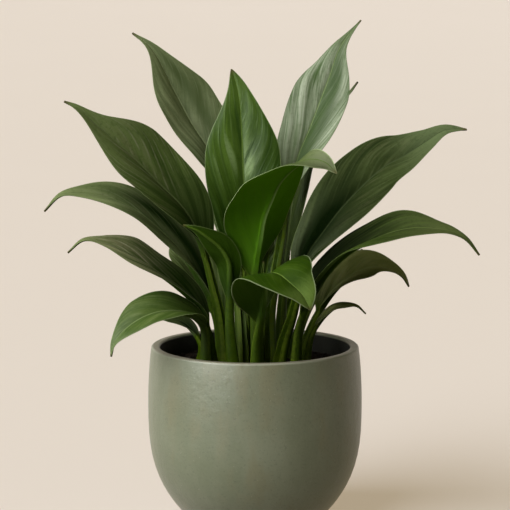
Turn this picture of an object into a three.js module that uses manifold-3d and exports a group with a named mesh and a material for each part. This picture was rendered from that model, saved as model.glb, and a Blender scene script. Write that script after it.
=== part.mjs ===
// A cast iron plant in a round-bellied planter, in millimetres, +Z up.
// The origin is the middle of the planter's flat base, on the surface it stands on. -Y is the front.
// Every leaf is one piece: a channelled stalk that stands in a plain hole in the soil and widens to a blade.

import * as THREE from "three";
import { ConvexGeometry } from "three/addons/geometries/ConvexGeometry.js";
import { mergeVertices } from "three/addons/utils/BufferGeometryUtils.js";
import Module from "manifold-3d";

const wasm = await Module();
wasm.setup();

// Planter, turned about +Z
const POT_HEIGHT = 166;
const POT_BASE_RADIUS = 58.5;
const POT_BELLY_RADIUS = 100;
const POT_BELLY_HEIGHT = 112;
const POT_RIM_RADIUS = 96.8;
const POT_WALL = 8;
const POT_FLOOR = 12;
const POT_EDGE_ROUND = 3;
const POT_SEGMENTS = 48;
const OUTSIDE_HEIGHTS = [2, 12, 26, 42, 62, 85, 112, 138];
const INSIDE_HEIGHTS = [22, 42, 70, 110];

// Soil, with a low mound round the crown
const SOIL_EDGE_HEIGHT = 147;
const SOIL_MOUND = 3;
const SOIL_MOUND_RADIUS = 56;
const SOIL_GAP = 0.3;

// Leaves
const STALK_START = 152; // height at which a stalk leaves its straight, buried stretch
const STALK_SUNK = 16; // length of that stretch
const HOLE_CLEARANCE = 0.45;
const HOLE_TOP = 4; // how far a hole's cutter reaches above a stalk's start
const WIDE_STALK = [4.8, 2.8]; // half width at the soil and where the blade begins
const SLIM_STALK = [3.4, 1.8];
const MIDRIB_TAPER = 0.8; // share of its size that the midrib loses along the blade
const RIDGE_DEPTH = 1.3; // depth and half width of the ridge under a stalk, as shares of its half width
const RIDGE_WIDTH = 1.05;
const BLADE_THICKNESS = 0.8;
const BLADE_RINGS = 11;
const STALK_RINGS = 4;
const WIDE_STATIONS = [-1, -0.62, -0.26, 0, 0.26, 0.62, 1];
const SLIM_STATIONS = [-1, -0.4, 0, 0.4, 1];
const BLADE_SWELL = 0.85; // power of the outline near the blade's base
const BLADE_TAPER = 0.8; // power of the outline near the tip
const DRIP_RANGE = [0.58, 0.97]; // shares of the blade between which it draws in to its drip tip
const USUAL_DRIP = 0.75;
const EDGE_CURL = 26; // degrees by which each half turns back towards its edge
const TIP_HALF_WIDTH = 0.7;

const COLOURS = {
  planter: 0x8a917c,
  soil: 0x2a1d14,
  leaf: 0x2f5a24,
  youngLeaf: 0x4d7a2a,
};

// Each leaf is described by
//   midrib: points from the soil to the tip
//   blade:  share of the midrib's length at which the blade begins
//   width:  widest part of the blade
//   lean:   direction that the leaf leans in, in degrees from +X towards +Y
//   roll:   turn about the midrib at the blade's base, middle and tip, in degrees
//   fold:   rise of each half above flat at the blade's base, middle and tip, in degrees
//   wave:   height of the edge's waves, with how many there are and where they start
//   drip:   share by which the blade draws in to its drip tip, where it isn't the usual one
//   slim:   set for a narrow leaf or shoot, which has a thinner stalk and fewer stations across
const LEAVES = [
  {
    name: "leaf_upper_left",
    midrib: [
      [-11, -20], [-12, -15, 178], [-14, 1, 208], [-18, 21, 245], [-22, 33, 278], [-30, 43, 312],
      [-44, 52, 344], [-61, 59, 370], [-77, 66, 400], [-99, 73, 440], [-117, 76, 455],
    ],
    blade: 0.42,
    width: 71,
    lean: 160,
    roll: [-30, -34, -34],
    fold: [50, 36, 30],
    wave: [1.5, 2, 0.1],
  },
  {
    name: "leaf_broad_left",
    midrib: [
      [-27, -22], [-32, -23, 201], [-38, -24, 226], [-43, -26, 247], [-51, -30, 272], [-65, -37, 298],
      [-86, -44, 321], [-113, -51, 349], [-137, -57, 371], [-158, -60, 390], [-169, -60, 396],
    ],
    blade: 0.34,
    width: 70,
    lean: 195,
    roll: [-50, -56, -50],
    fold: [50, 32, 28],
    wave: [2, 2, 0.3],
    drip: 0.7,
  },
  {
    name: "leaf_left_arch",
    midrib: [
      [-30, 2], [-35, 6, 188], [-47, 10, 216], [-65, 14, 247], [-90, 14, 274], [-112, 11, 292],
      [-134, 6, 303], [-157, 0, 308], [-179, -6, 307], [-194, -12, 293],
    ],
    blade: 0.17,
    width: 55,
    lean: 180,
    roll: [-20, -25, -25],
    fold: [50, 30, 25],
    wave: [2, 2, 0.1],
  },
  {
    name: "leaf_left_arch_low",
    midrib: [
      [-38, -15], [-43, -21, 184], [-53, -29, 208], [-70, -39, 227], [-91, -49, 244],
      [-112, -57, 259], [-134, -63, 270], [-153, -67, 273], [-167, -70, 262],
    ],
    blade: 0.17,
    width: 50,
    lean: 200,
    roll: [-25, -28, -25],
    fold: [50, 28, 22],
    wave: [1.5, 2, 0.4],
    drip: 0.9,
  },
  {
    name: "leaf_left_droop",
    midrib: [
      [-44, -28], [-45, -37, 186], [-52, -46, 199], [-65, -55, 206], [-81, -62, 208], [-99, -69, 204],
      [-116, -74, 193], [-126, -76, 181], [-129, -77, 169],
    ],
    blade: 0.26,
    width: 46,
    lean: 205,
    roll: [-20, -24, -20],
    fold: [50, 30, 22],
    wave: [1.5, 2, 0],
  },
  {
    name: "leaf_left_low",
    midrib: [
      [-50, -4], [-49, -3, 165], [-57, 3, 178], [-68, 10, 186], [-81, 16, 189], [-97, 21, 186],
    ],
    blade: 0.3,
    width: 20,
    lean: 170,
    roll: [-20, -20, -20],
    fold: [40, 20, 20],
    wave: [0, 1, 0],
    slim: true,
  },
  {
    name: "leaf_centre_upright",
    midrib: [
      [-2, 8], [-5, 10, 197], [-8, 11, 235], [-11, 11, 268], [-10, 11, 301], [-11, 12, 329],
      [-12, 14, 356], [-14, 17, 389], [-17, 19, 407], [-22, 20, 422],
    ],
    blade: 0.3,
    width: 72,
    lean: 90,
    roll: [0, 0, 0],
    fold: [45, 22, 20],
    wave: [1.5, 2, 0.2],
    drip: 0.45,
  },
  {
    name: "leaf_centre_front",
    midrib: [
      [2, -28], [0, -32, 190], [-1, -35, 214], [0, -39, 235], [2, -44, 254], [5, -50, 272],
      [8, -58, 291], [14, -67, 308], [21, -77, 325], [31, -86, 337], [42, -92, 345], [52, -96, 347],
      [62, -99, 344], [71, -101, 335],
    ],
    blade: 0.32,
    width: 81,
    lean: 300,
    roll: [0, 10, 50],
    fold: [50, 26, 20],
    wave: [1.5, 2, 0.3],
    drip: 0.6,
  },
  {
    name: "leaf_small_front",
    midrib: [
      [0, -42], [1, -46, 174], [3, -52, 189], [6, -60, 207], [8, -69, 223], [10, -79, 238],
      [15, -90, 246], [22, -101, 246], [31, -110, 240], [41, -116, 231], [48, -120, 218],
    ],
    blade: 0.27,
    width: 74,
    lean: 300,
    roll: [8, 14, 2],
    fold: [40, 22, 34],
    wave: [1, 1, 0],
    drip: 0.3,
  },
  {
    name: "leaf_inner_left",
    midrib: [
      [-20, -37], [-23, -40, 187], [-23, -43, 215], [-23, -46, 234], [-24, -50, 251], [-31, -55, 264],
      [-43, -60, 275], [-53, -63, 282], [-64, -65, 286],
    ],
    blade: 0.38,
    width: 25,
    lean: 215,
    roll: [60, 60, 60],
    fold: [40, 22, 20],
    wave: [1, 2, 0],
    drip: 0.5,
  },
  {
    name: "leaf_upper_right",
    midrib: [
      [14, -11], [13, -6, 195], [17, -2, 223], [21, 6, 247], [25, 16, 270], [29, 27, 295],
      [35, 38, 319], [42, 47, 342], [52, 54, 365], [62, 60, 391], [71, 66, 414], [81, 71, 441],
      [101, 74, 467],
    ],
    blade: 0.42,
    width: 57,
    lean: 20,
    roll: [40, 52, 52],
    fold: [50, 28, 22],
    wave: [1.5, 2, 0.1],
    drip: 0.8,
  },
  {
    name: "leaf_upper_right_back",
    midrib: [
      [21, 9], [27, 20, 229], [31, 34, 261], [34, 44, 283], [37, 54, 306], [42, 64, 329],
      [52, 73, 351], [65, 80, 370], [80, 86, 387], [91, 89, 397], [99, 90, 408],
    ],
    blade: 0.24,
    width: 40,
    lean: 30,
    roll: [20, 20, 20],
    fold: [50, 22, 20],
    wave: [1.5, 2, 0.5],
  },
  {
    name: "leaf_right_broad",
    midrib: [
      [21, -25], [26, -23, 174], [33, -18, 194], [41, -10, 224], [49, -4, 251], [65, 0, 274],
      [80, 0, 294], [101, -2, 317], [119, -4, 333], [138, -7, 344], [156, -9, 356], [174, -9, 367],
      [194, -9, 368],
    ],
    blade: 0.25,
    width: 68,
    lean: 0,
    roll: [50, 48, 40],
    fold: [50, 30, 25],
    wave: [2, 2, 0.4],
    drip: 0.6,
  },
  {
    name: "leaf_right_arch",
    midrib: [
      [36, -22], [40, -25, 189], [51, -29, 216], [67, -35, 241], [85, -43, 259], [104, -50, 270],
      [121, -57, 278], [139, -63, 283], [159, -67, 283], [174, -69, 281], [188, -71, 274],
      [200, -72, 260],
    ],
    blade: 0.18,
    width: 56,
    lean: 340,
    roll: [22, 22, 20],
    fold: [50, 28, 22],
    wave: [2, 2, 0],
  },
  {
    name: "leaf_right_arch_low",
    midrib: [
      [41, 3], [55, 9, 187], [67, 15, 207], [82, 19, 223], [98, 22, 233], [114, 23, 237],
      [129, 21, 234], [139, 18, 228], [145, 15, 219],
    ],
    blade: 0.3,
    width: 50,
    lean: 10,
    roll: [20, 20, 20],
    fold: [50, 28, 22],
    wave: [1.5, 2, 0.2],
    drip: 0.35,
  },
  {
    name: "leaf_right_low",
    midrib: [
      [47, -9], [52, -6, 176], [63, -1, 192], [74, 2, 201], [86, 4, 203], [96, 4, 202], [104, 4, 195],
    ],
    blade: 0.35,
    width: 12,
    lean: 0,
    roll: [20, 20, 20],
    fold: [40, 20, 20],
    wave: [0, 1, 0],
    slim: true,
  },
  {
    name: "leaf_back_left",
    midrib: [
      [-14, 30], [-9, 36, 191], [-12, 55, 229], [-16, 82, 269], [-20, 108, 306], [-25, 130, 329],
      [-27, 145, 338],
    ],
    blade: 0.35,
    width: 54,
    lean: 95,
    roll: [0, 0, 0],
    fold: [45, 22, 20],
    wave: [2, 2, 0.2],
  },
  {
    name: "leaf_back_right",
    midrib: [
      [14, 36], [29, 48, 186], [40, 66, 216], [54, 88, 244], [69, 112, 265], [88, 134, 284],
      [107, 152, 298], [124, 165, 309],
    ],
    blade: 0.35,
    width: 44,
    lean: 60,
    roll: [20, 20, 20],
    fold: [45, 22, 20],
    wave: [2, 2, 0.4],
  },
  {
    name: "leaf_back_low_left",
    midrib: [
      [-28, 21], [-32, 34, 176], [-41, 46, 198], [-53, 62, 220], [-65, 84, 239], [-77, 104, 252],
      [-88, 122, 262],
    ],
    blade: 0.14,
    width: 52,
    lean: 125,
    roll: [0, 0, 0],
    fold: [45, 22, 20],
    wave: [1.5, 2, 0.1],
  },
  {
    name: "leaf_back_low_right",
    midrib: [
      [33, 21], [44, 34, 182], [57, 54, 203], [74, 84, 220], [91, 110, 231], [107, 130, 240],
    ],
    blade: 0.32,
    width: 32,
    lean: 45,
    roll: [0, 0, 0],
    fold: [45, 22, 20],
    wave: [1.5, 2, 0.6],
  },
  {
    name: "leaf_back_centre",
    midrib: [
      [1, 27], [5, 40, 195], [11, 62, 228], [15, 88, 250], [17, 116, 258], [18, 142, 254],
    ],
    blade: 0.3,
    width: 44,
    lean: 85,
    roll: [0, 0, 0],
    fold: [45, 24, 20],
    wave: [1.5, 2, 0.3],
  },
  {
    name: "shoot_left",
    midrib: [
      [-4, -7], [-5, -9, 190], [-7, -12, 225], [-9, -14, 249],
    ],
    blade: 0.35,
    width: 9,
    lean: 90,
    roll: [0, 0, 0],
    fold: [60, 55, 40],
    wave: [0, 1, 0],
    slim: true,
  },
  {
    name: "shoot_right",
    midrib: [
      [4, -13], [5, -15, 190], [6, -18, 222], [8, -20, 247],
    ],
    blade: 0.35,
    width: 9,
    lean: 90,
    roll: [0, 0, 0],
    fold: [60, 55, 40],
    wave: [0, 1, 0],
    slim: true,
  },
];

const radians = THREE.MathUtils.degToRad;

// A manifold-3d solid from a closed geometry, and back.
function toSolid(geometry) {
  const bare = new THREE.BufferGeometry();
  bare.setAttribute("position", geometry.getAttribute("position"));
  if (geometry.getIndex()) bare.setIndex(geometry.getIndex());
  const merged = mergeVertices(bare, 1e-3);
  return new wasm.Manifold(
    new wasm.Mesh({
      numProp: 3,
      vertProperties: merged.getAttribute("position").array,
      triVerts: new Uint32Array(merged.getIndex().array),
    }),
  );
}

function toGeometry(solid) {
  const mesh = solid.getMesh();
  const geometry = new THREE.BufferGeometry();
  geometry.setAttribute("position", new THREE.BufferAttribute(mesh.vertProperties, 3));
  geometry.setIndex(new THREE.BufferAttribute(mesh.triVerts, 1));
  return geometry;
}

function named(name, geometry, colour, roughness) {
  geometry.computeVertexNormals();
  const material = new THREE.MeshStandardMaterial({ color: colour, roughness, metalness: 0 });
  const mesh = new THREE.Mesh(geometry, material);
  mesh.name = name;
  return mesh;
}

// Planter wall

// Radius of the planter's outside at a height: a bowl up to the belly, then a shallow curve in to the rim.
function potRadius(height) {
  if (height < POT_BELLY_HEIGHT) {
    const drop = 1 - height / POT_BELLY_HEIGHT;
    return POT_BELLY_RADIUS - (POT_BELLY_RADIUS - POT_BASE_RADIUS) * drop ** 3;
  }
  const rise = (height - POT_BELLY_HEIGHT) / (POT_HEIGHT - POT_BELLY_HEIGHT);
  return POT_BELLY_RADIUS - (POT_BELLY_RADIUS - POT_RIM_RADIUS) * rise * rise;
}

// Part of a round, from one angle to another, as profile points.
function roundEdge(centreX, centreY, radius, angles) {
  return angles.map((angle) => {
    const turn = radians(angle);
    return new THREE.Vector2(centreX + radius * Math.cos(turn), centreY + radius * Math.sin(turn));
  });
}

// The bowl's inside from the middle of its floor up to a height, drawn in by a gap.
function insideProfile(top, gap) {
  const floor = POT_FLOOR + gap;
  const points = [new THREE.Vector2(0, floor)];
  points.push(new THREE.Vector2(potRadius(POT_FLOOR) - POT_WALL * 1.6 - gap, floor));
  for (const height of [...INSIDE_HEIGHTS, top]) {
    points.push(new THREE.Vector2(potRadius(height) - POT_WALL - gap, height));
  }
  return points;
}

function planterGeometry() {
  const lip = POT_HEIGHT - POT_EDGE_ROUND;
  const outside = [new THREE.Vector2(0, 0), new THREE.Vector2(POT_BASE_RADIUS - 2, 0)];
  for (const height of [...OUTSIDE_HEIGHTS, lip - 4]) {
    outside.push(new THREE.Vector2(potRadius(height), height));
  }
  const rimOut = roundEdge(POT_RIM_RADIUS - POT_EDGE_ROUND, lip, POT_EDGE_ROUND, [0, 45, 90]);
  const rimIn = roundEdge(POT_RIM_RADIUS - POT_WALL + POT_EDGE_ROUND, lip, POT_EDGE_ROUND, [90, 135, 180]);
  const inside = insideProfile(SOIL_EDGE_HEIGHT, 0).reverse();
  const profile = [...outside, ...rimOut, ...rimIn, ...inside];
  return new THREE.LatheGeometry(profile, POT_SEGMENTS).rotateX(Math.PI / 2);
}

// Leaves

// The midrib: a straight buried stretch, then a smooth curve through the leaf's points.
class Midrib {
  constructor(points) {
    const places = points.map(([x, y, z = STALK_START]) => new THREE.Vector3(x, y, z));
    this.curve = new THREE.CatmullRomCurve3(places, false, "centripetal");
    this.curve.arcLengthDivisions = 400;
    this.start = this.curve.getPointAt(0);
    this.direction = this.curve.getTangentAt(0);
  }

  point(share) {
    if (share >= 0) return this.curve.getPointAt(Math.min(share, 1));
    return this.start.clone().addScaledVector(this.direction, share * this.curve.getLength());
  }

  tangent(share) {
    return share > 0 ? this.curve.getTangentAt(Math.min(share, 1)) : this.direction.clone();
  }
}

// A value that runs smoothly through three given ones, at 0, 0.5 and 1.
function through([base, middle, tip], share) {
  const rest = 1 - share;
  return base * rest * (rest - share) + middle * 4 * share * rest + tip * share * (share - rest);
}

// Share of the full width at a place on the blade, 0 at its base and 1 at its tip.
function outline(share, drip) {
  if (share <= 0 || share >= 1) return 0;
  const widest = BLADE_SWELL / (BLADE_SWELL + BLADE_TAPER);
  const full = (share / widest) ** BLADE_SWELL * ((1 - share) / (1 - widest)) ** BLADE_TAPER;
  return full * (1 - drip * THREE.MathUtils.smoothstep(share, ...DRIP_RANGE));
}

// The section of a leaf at one place: its upper side from edge to edge, and its underside beneath the same
// stations. The stalk's ridge runs on beneath the blade as its midrib.
function leafSection(leaf, midrib, share) {
  const onBlade = THREE.MathUtils.clamp((share - leaf.blade) / (1 - leaf.blade), 0, 1);
  const stalk = THREE.MathUtils.clamp(share / leaf.blade, 0, 1);
  const [stalkFoot, stalkNeck] = leaf.slim ? SLIM_STALK : WIDE_STALK;
  const stalkHalf = THREE.MathUtils.lerp(stalkFoot, stalkNeck, stalk) * (1 - MIDRIB_TAPER * onBlade);
  const spread = outline(onBlade, leaf.drip ?? USUAL_DRIP);
  const halfWidth = Math.max(Math.hypot(stalkHalf, (leaf.width / 2) * spread), TIP_HALF_WIDTH);
  const along = midrib.tangent(share);
  const lean = radians(leaf.lean);
  const side = new THREE.Vector3(-Math.sin(lean), Math.cos(lean), 0);
  side.addScaledVector(along, -side.dot(along)).normalize();
  side.applyAxisAngle(along, radians(through(leaf.roll, onBlade)));
  const up = new THREE.Vector3().crossVectors(along, side);
  const centre = midrib.point(share);
  const fold = radians(through(leaf.fold, onBlade));
  const curl = radians(EDGE_CURL) * Math.min(1, onBlade * 4) + 1e-4;
  const [waveHeight, waveCount, waveStart] = leaf.wave;
  const wave = waveHeight * Math.sin(2 * Math.PI * (waveCount * onBlade + waveStart)) * spread;
  const upper = [];
  const under = [];
  for (const station of leaf.slim ? SLIM_STATIONS : WIDE_STATIONS) {
    const out = Math.abs(station);
    const hand = Math.sign(station);
    const across = (halfWidth * (Math.sin(fold) - Math.sin(fold - curl * out))) / curl;
    const lift = (halfWidth * (Math.cos(fold - curl * out) - Math.cos(fold))) / curl;
    const rise = lift + wave * hand * out * out;
    const turn = station === 0 ? 0 : fold - curl * out;
    const point = centre.clone().addScaledVector(side, hand * across).addScaledVector(up, rise);
    const normal = up.clone().multiplyScalar(Math.cos(turn)).addScaledVector(side, -hand * Math.sin(turn));
    const offRidge = (out * halfWidth) / (stalkHalf * RIDGE_WIDTH);
    const ridge = stalkHalf * RIDGE_DEPTH * Math.sqrt(Math.max(0, 1 - offRidge ** 2));
    upper.push(point);
    under.push(point.clone().addScaledVector(normal, -(BLADE_THICKNESS + ridge)));
  }
  return { upper, under };
}

// One closed skin over a row of sections. Both faces are split into triangles alike.
function skin(sections) {
  const stations = sections[0].upper.length;
  const positions = [];
  for (const { upper, under } of sections) {
    for (const point of [...upper, ...under]) positions.push(point.x, point.y, point.z);
  }
  const upper = (ring, station) => ring * stations * 2 + station;
  const under = (ring, station) => upper(ring, station) + stations;
  const faces = [];
  const last = stations - 1;
  for (let ring = 0; ring + 1 < sections.length; ring += 1) {
    for (let s = 0; s < last; s += 1) {
      faces.push(upper(ring, s), upper(ring + 1, s + 1), upper(ring, s + 1));
      faces.push(upper(ring, s), upper(ring + 1, s), upper(ring + 1, s + 1));
      faces.push(under(ring, s), under(ring, s + 1), under(ring + 1, s + 1));
      faces.push(under(ring, s), under(ring + 1, s + 1), under(ring + 1, s));
    }
    faces.push(upper(ring, 0), under(ring, 0), under(ring + 1, 0));
    faces.push(upper(ring, 0), under(ring + 1, 0), upper(ring + 1, 0));
    faces.push(upper(ring, last), under(ring + 1, last), under(ring, last));
    faces.push(upper(ring, last), upper(ring + 1, last), under(ring + 1, last));
  }
  const end = sections.length - 1;
  for (let s = 0; s < last; s += 1) {
    faces.push(upper(0, s), upper(0, s + 1), under(0, s + 1));
    faces.push(upper(0, s), under(0, s + 1), under(0, s));
    faces.push(upper(end, s), under(end, s + 1), upper(end, s + 1));
    faces.push(upper(end, s), under(end, s), under(end, s + 1));
  }
  const geometry = new THREE.BufferGeometry();
  geometry.setAttribute("position", new THREE.Float32BufferAttribute(positions, 3));
  geometry.setIndex(faces);
  return geometry;
}

function leafGeometry(leaf) {
  const midrib = new Midrib(leaf.midrib);
  const shares = [-STALK_SUNK / midrib.curve.getLength()];
  for (let i = 0; i < STALK_RINGS; i += 1) shares.push((leaf.blade * i) / STALK_RINGS);
  for (let i = 0; i <= BLADE_RINGS; i += 1) shares.push(THREE.MathUtils.lerp(leaf.blade, 1, i / BLADE_RINGS));
  return skin(shares.map((share) => leafSection(leaf, midrib, share)));
}

// The hole that a stalk stands in: a plain one round its buried stretch, with the clearance all round.
function stalkHole(leaf) {
  const midrib = new Midrib(leaf.midrib);
  const along = midrib.direction;
  const { upper, under } = leafSection(leaf, midrib, 0);
  const points = [...upper, ...under];
  const side = upper[upper.length - 1].clone().sub(upper[0]).normalize();
  const up = new THREE.Vector3().crossVectors(along, side);
  const heights = points.map((point) => point.clone().sub(upper[0]).dot(up));
  const highest = Math.max(...heights);
  const lowest = Math.min(...heights);
  const middle = upper[0].clone().lerp(upper[upper.length - 1], 0.5);
  middle.addScaledVector(up, (highest + lowest) / 2);
  const halfDeep = (highest - lowest) / 2;
  const halfWide = Math.max(...points.map((point) => Math.abs(point.clone().sub(middle).dot(side))));
  const corners = [];
  for (const point of points) {
    const reach = point.clone().sub(middle);
    const wide = reach.dot(side) * (1 + HOLE_CLEARANCE / halfWide);
    const deep = reach.dot(up) * (1 + HOLE_CLEARANCE / halfDeep);
    const corner = middle.clone().addScaledVector(side, wide).addScaledVector(up, deep);
    corners.push(corner.clone().addScaledVector(along, -(STALK_SUNK + HOLE_CLEARANCE)));
    corners.push(corner.addScaledVector(along, HOLE_TOP));
  }
  return toSolid(new ConvexGeometry(corners));
}

// Soil: fills the planter, with a hole for each stalk
function soilGeometry() {
  const profile = insideProfile(SOIL_EDGE_HEIGHT, SOIL_GAP);
  profile.push(new THREE.Vector2(SOIL_MOUND_RADIUS, SOIL_EDGE_HEIGHT + SOIL_MOUND));
  profile.push(new THREE.Vector2(0, SOIL_EDGE_HEIGHT + SOIL_MOUND));
  let soil = toSolid(new THREE.LatheGeometry(profile, POT_SEGMENTS).rotateX(Math.PI / 2));
  for (const leaf of LEAVES) soil = soil.subtract(stalkHole(leaf));
  return toGeometry(soil);
}

const plant = new THREE.Group();
plant.add(named("planter", planterGeometry(), COLOURS.planter, 0.6));
plant.add(named("soil", soilGeometry(), COLOURS.soil, 0.95));
for (const leaf of LEAVES) {
  const colour = leaf.name.startsWith("shoot") ? COLOURS.youngLeaf : COLOURS.leaf;
  plant.add(named(leaf.name, leafGeometry(leaf), colour, 0.4));
}

export default plant;
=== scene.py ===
import math
import random

import bmesh
import bpy
from mathutils import Matrix, Vector, noise


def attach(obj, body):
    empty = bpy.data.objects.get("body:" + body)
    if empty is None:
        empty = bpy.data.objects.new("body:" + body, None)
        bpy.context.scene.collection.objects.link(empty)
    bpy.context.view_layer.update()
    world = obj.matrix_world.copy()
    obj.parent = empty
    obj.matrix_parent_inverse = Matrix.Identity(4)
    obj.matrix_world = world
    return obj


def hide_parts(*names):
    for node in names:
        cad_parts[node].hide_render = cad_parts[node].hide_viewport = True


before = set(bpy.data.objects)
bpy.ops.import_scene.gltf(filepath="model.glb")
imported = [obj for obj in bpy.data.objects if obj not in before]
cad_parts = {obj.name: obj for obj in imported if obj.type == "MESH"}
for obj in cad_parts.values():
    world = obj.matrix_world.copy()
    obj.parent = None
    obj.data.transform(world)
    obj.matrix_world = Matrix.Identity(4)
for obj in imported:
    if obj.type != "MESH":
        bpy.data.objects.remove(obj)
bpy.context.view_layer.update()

mm = 0.001
print("frame loaded:", len(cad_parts), "nodes")


# A socket that can be used in Python sums. Each operator adds its Math node.
class Value:
    def __init__(self, finish, socket):
        self.finish = finish
        self.socket = socket

    def math(self, operation, *others):
        return self.finish.add("Math", {"operation": operation}, dict(enumerate((self, *others))))

    def __add__(self, other):
        return self.math("ADD", other)

    def __sub__(self, other):
        return self.math("SUBTRACT", other)

    def __mul__(self, other):
        return self.math("MULTIPLY", other)

    def __truediv__(self, other):
        return self.math("DIVIDE", other)

    def __rsub__(self, other):
        return self.finish.add("Math", {"operation": "SUBTRACT"}, {0: other, 1: self})

    __radd__ = __add__
    __rmul__ = __mul__

    # 0 below low, 1 above high, smooth between them
    def rising(self, low, high):
        settings = {"interpolation_type": "SMOOTHSTEP"}
        return self.finish.add("MapRange", settings, {"Value": self, "From Min": low, "From Max": high})

    def falling(self, low, high):
        return 1 - self.rising(low, high)

    # 1 on a row of lines, one at each whole number, 0 between them
    def lines(self, width):
        return (self.math("FRACT") - 0.5).math("ABSOLUTE").rising(0.5 - width, 0.5)


# The shader of a material or of the room, with one method that adds any node.
class Finish:
    def __init__(self, owner, shader="Principled BSDF", **constants):
        owner.use_nodes = True
        self.owner = owner
        self.tree = owner.node_tree
        self.surface = self.tree.nodes[shader]
        for socket, value in constants.items():
            self.surface.inputs[socket.replace("_", " ")].default_value = value

    def add(self, kind, settings=None, sockets=None, output=0):
        node = self.tree.nodes.new("ShaderNode" + kind)
        for setting, value in (settings or {}).items():
            setattr(node, setting, value)
        for place, value in (sockets or {}).items():
            if isinstance(value, Value):
                self.tree.links.new(value.socket, node.inputs[place])
            else:
                node.inputs[place].default_value = value
        return Value(self, node.outputs[output])

    def mix(self, factor, first, second):
        first, second = (tint if isinstance(tint, Value) else (*tint, 1) for tint in (first, second))
        return self.add("Mix", {"data_type": "RGBA"}, {0: factor, 6: first, 7: second}, 2)

    def attribute(self, name):
        return self.add("Attribute", {"attribute_name": name}, output=2)

    def coordinates(self, stretch=(1, 1, 1)):
        place = self.add("TexCoord", output=3)
        return self.add("Mapping", None, {"Vector": place, "Scale": stretch})

    def noise(self, coordinates, scale, detail, roughness=0.55):
        sockets = {"Vector": coordinates, "Scale": scale, "Detail": detail, "Roughness": roughness}
        return self.add("TexNoise", None, sockets)

    def joined(self, across, along, layer):
        return self.add("CombineXYZ", None, {0: across, 1: along, 2: layer})

    def bump(self, height, depth, strength):
        return self.add("Bump", None, {"Height": height, "Distance": depth, "Strength": strength})

    def feed(self, **sockets):
        for socket, value in sockets.items():
            self.tree.links.new(value.socket, self.surface.inputs[socket.replace("_", " ")])
        return self.owner


def newFinish(name, **constants):
    return Finish(bpy.data.materials.new(name), **constants)


def addObject(name, data):
    added = bpy.data.objects.new(name, data)
    bpy.context.scene.collection.objects.link(added)
    return added


# Turns a bmesh into an object with a smooth surface.
def addMesh(mesh, name, material):
    data = bpy.data.meshes.new(name)
    mesh.to_mesh(data)
    mesh.free()
    data.shade_smooth()
    data.materials.append(material)
    return addObject(name, data)


# Turns a bmesh into a piece that stands for a CAD node. Edges sharper than sharpAngle stay crisp.
def finishPiece(mesh, name, node, material, sharpAngle):
    piece = addMesh(mesh, name, material)
    piece.data.set_sharp_from_angle(angle=math.radians(sharpAngle))
    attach(piece, "root")
    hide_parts(node)


def clamp(value, low=0, high=1):
    return max(low, min(high, value))


def smooth(value, low, high):
    share = clamp((value - low) / (high - low))
    return share * share * (3 - 2 * share)


def lerp(first, second, share):
    return first + (second - first) * share


# Planter: a matt stoneware bowl. Lengths in millimetres.
planter = {
    "height": 166, "baseRadius": 58.5, "bellyRadius": 100, "bellyHeight": 112, "rimRadius": 96.8,
    "wall": 8, "floor": 12, "cornerWall": 12.8, "lipRound": 2, "footRound": 2.5, "footTuck": 0.2,
    "footTurn": (-80, -15), "footSteps": 4, "segments": 128, "sharp": 50, "baseRings": (35.1, 55),
    "outerRings": (4, 7, 10, 14, 18, 23, 29, 36, 44, 53, 63, 74, 86, 98, 110, 120, 130, 139, 147, 153, 157),
    "innerRings": (150, 138, 120, 100, 80, 60, 45, 30, 20),
    "rubbedHeights": (164.8, 165.6), "rimHighlightHeights": (164, 165.2), "rimHighlightRadii": (94.5, 95.5),
    "insideShadeRadii": (93.5, 95.5), "insideShadeTop": (163, 165), "insideShadeFoot": (100, 120),
    "cloudScale": 9, "streakScale": 34, "dentScale": 95, "grainScale": 420, "fineScale": 1500,
    "speckScale": 330, "paleSpeckScale": 260, "relief": 0.0004,
    "glaze": (0.186, 0.208, 0.132), "paleGlaze": (0.24, 0.26, 0.18), "warmGlaze": (0.208, 0.2, 0.114),
    "speck": (0.085, 0.085, 0.06), "paleSpeck": (0.36, 0.37, 0.3), "rubbedRim": (0.205, 0.185, 0.13),
    "paintedRimHighlight": (0.42, 0.43, 0.35), "paintedShadeWall": (0.006, 0.007, 0.002),
}


# Radius of the outer wall at a height.
def planterRadius(height):
    if height < planter["bellyHeight"]:
        drop = 1 - height / planter["bellyHeight"]
        return planter["bellyRadius"] - (planter["bellyRadius"] - planter["baseRadius"]) * drop ** 3
    rise = (height - planter["bellyHeight"]) / (planter["height"] - planter["bellyHeight"])
    return planter["bellyRadius"] - (planter["bellyRadius"] - planter["rimRadius"]) * rise * rise


# Points of a quarter round between two angles, in degrees.
def roundPoints(across, up, radius, start, end, steps=6):
    points = []
    for step in range(steps + 1):
        turn = math.radians(lerp(start, end, step / steps))
        points.append((across + radius * math.cos(turn), up + radius * math.sin(turn)))
    return points


# Spins a profile of (radius, height) points all the way round.
def spunMesh(profile, segments):
    mesh = bmesh.new()
    corners = [mesh.verts.new((across * mm, 0, up * mm)) for across, up in profile]
    edges = [mesh.edges.new(pair) for pair in zip(corners, corners[1:])]
    bmesh.ops.spin(mesh, geom=corners + edges, axis=(0, 0, 1), cent=(0, 0, 0), angle=math.tau,
                   steps=segments, use_merge=True)
    bmesh.ops.remove_doubles(mesh, verts=mesh.verts, dist=0.01 * mm)
    bmesh.ops.recalc_face_normals(mesh, faces=mesh.faces)
    return mesh


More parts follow.
